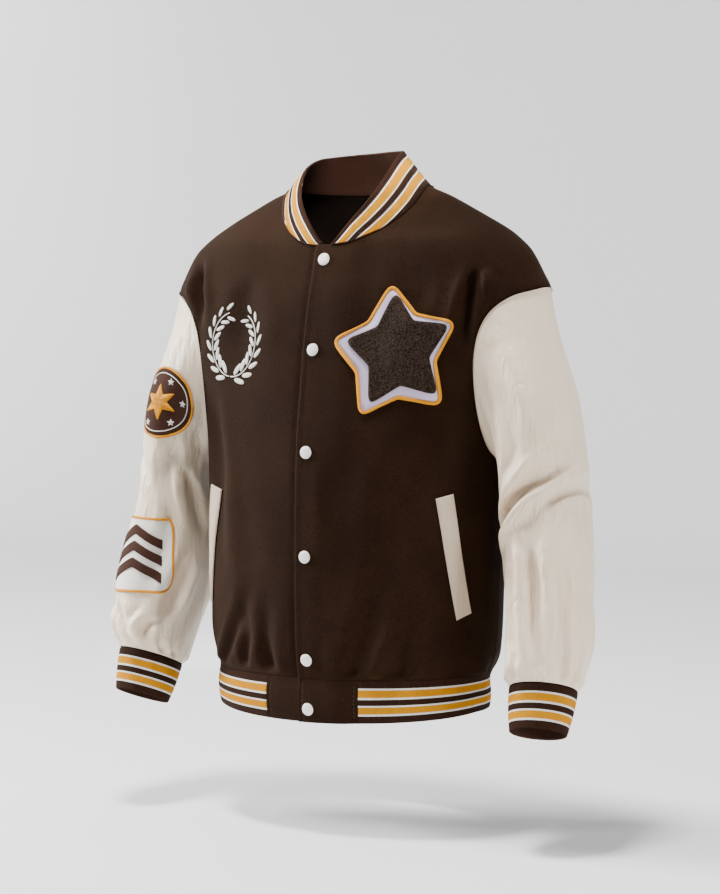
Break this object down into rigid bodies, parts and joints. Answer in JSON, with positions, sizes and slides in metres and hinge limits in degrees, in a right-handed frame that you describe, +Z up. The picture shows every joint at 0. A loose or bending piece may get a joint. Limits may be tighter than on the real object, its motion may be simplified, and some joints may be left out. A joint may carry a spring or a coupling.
{
  "type": "varsity jacket",
  "caption": "Hollow snap-front jacket with a cloth body, leather sleeves, slanted welts, raised applique and a striped rib collar, cuffs and hem.",
  "frame": {"origin": "midway between the neck ends of the two shoulder seams, where a wearer or a hanger holds the jacket up", "axes": "+Z up, the front faces -Y, the wearer's left is towards +X"},
  "size_m": [0.6768, 0.2523, 0.7262],
  "materials": {
    "melton": "dark brown napped wool",
    "sleeve_leather": "cream soft leather with a low sheen",
    "welt_leather": "cream leather",
    "rib_knit": "brown rib knit with gold and white stripes",
    "snap_enamel": "off-white enamel",
    "pale_felt": "pale lavender felt",
    "dark_felt": "dark brown felt",
    "gold_felt": "gold felt",
    "gold_cord": "gold cord",
    "chenille": "looped brown pile"
  },
  "bodies": {
    "root": {"left_front": "melton", "right_front": "melton", "back": "melton", "left_hem_tab": "melton", "right_hem_tab": "melton", "left_sleeve": "sleeve_leather", "right_sleeve": "sleeve_leather", "left_pocket_welt": "welt_leather", "right_pocket_welt": "welt_leather", "collar_rib": "rib_knit", "left_cuff": "rib_knit", "right_cuff": "rib_knit", "hem_rib": "rib_knit", "snap_1": "snap_enamel", "snap_2": "snap_enamel", "snap_3": "snap_enamel", "snap_4": "snap_enamel", "snap_5": "snap_enamel", "snap_6": "snap_enamel", "chest_felt": "pale_felt", "chest_pile": "chenille", "chest_border": "gold_cord", "badge_base": "dark_felt", "badge_star": "gold_cord", "lower_patch_base": "gold_felt", "lower_patch_bars": "chenille"}
  },
  "joints": []
}
